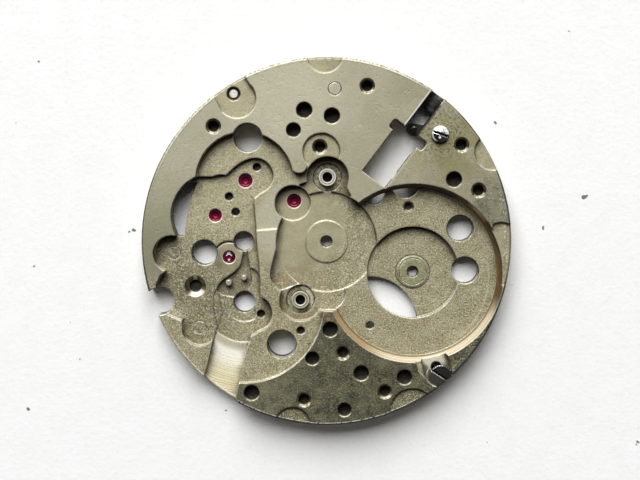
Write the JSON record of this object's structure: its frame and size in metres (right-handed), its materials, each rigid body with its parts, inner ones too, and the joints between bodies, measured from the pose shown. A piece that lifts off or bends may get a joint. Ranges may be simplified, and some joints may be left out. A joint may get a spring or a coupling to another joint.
{
  "type": "watch main plate",
  "caption": "Round main plate of a small mechanical watch movement, recessed for barrel, wheels, escapement and balance, with its fixed jewels, pins, tubes, posts and screws.",
  "frame": {"origin": "centre of the plate on the rest face of its dial side", "axes": "+Z out of the movement side, +Y towards the picture's top edge, +X towards its right edge; the stem runs out between +X and +Y"},
  "size_m": [0.0258, 0.0258, 0.0026],
  "materials": {
    "nickel_plate": "nickel-plated, fine-grained floors, bright edges",
    "ruby": "polished synthetic ruby",
    "steel_pin": "polished hardened steel",
    "steel_tube": "turned bright steel",
    "brass_bush": "turned flush with the plate",
    "steel_post": "riveted and faced flush",
    "steel_lever": "grained steel",
    "steel_spring": "grained spring steel",
    "dark_screw": "dark polished steel"
  },
  "bodies": {
    "plate": {"main_plate": "nickel_plate", "third_wheel_jewel": "ruby", "fourth_wheel_jewel": "ruby", "escape_wheel_jewel": "ruby", "pallet_fork_jewel": "ruby", "banking_pin_1": "steel_pin", "banking_pin_2": "steel_pin", "train_bridge_tube_upper": "steel_tube", "train_bridge_tube_lower": "steel_tube", "barrel_arbor_bush": "brass_bush", "dial_side_post_1": "steel_post", "dial_side_post_2": "steel_post", "dial_side_post_3": "steel_post", "dial_side_post_4": "steel_post", "minute_wheel_post": "steel_post", "yoke_post": "steel_post", "setting_lever_spring": "steel_spring", "setting_lever_spring_screw": "dark_screw"},
    "lever": {"setting_lever": "steel_lever", "setting_lever_pin": "steel_pin"},
    "lever_screw": {"setting_lever_screw": "dark_screw"},
    "case_screw": {"dog_screw": "dark_screw"}
  },
  "joints": [
    {"name": "setting_lever_pivot", "type": "hinge", "parent": "plate", "child": "lever", "pos_m": [0.0079, 0.00759, 0.0004], "axis": [0, 0, 1], "range_deg": [-18, 0]},
    {"name": "setting_lever_screw_turn", "type": "hinge", "parent": "lever", "child": "lever_screw", "pos_m": [0.0079, 0.00759, 0.0004], "axis": [0, 0, 1], "range_deg": [0, 720]},
    {"name": "dog_screw_turn", "type": "hinge", "parent": "plate", "child": "case_screw", "pos_m": [0.00807, -0.00944, 0.0016], "axis": [0, 0, 1], "range_deg": [0, 180]}
  ]
}
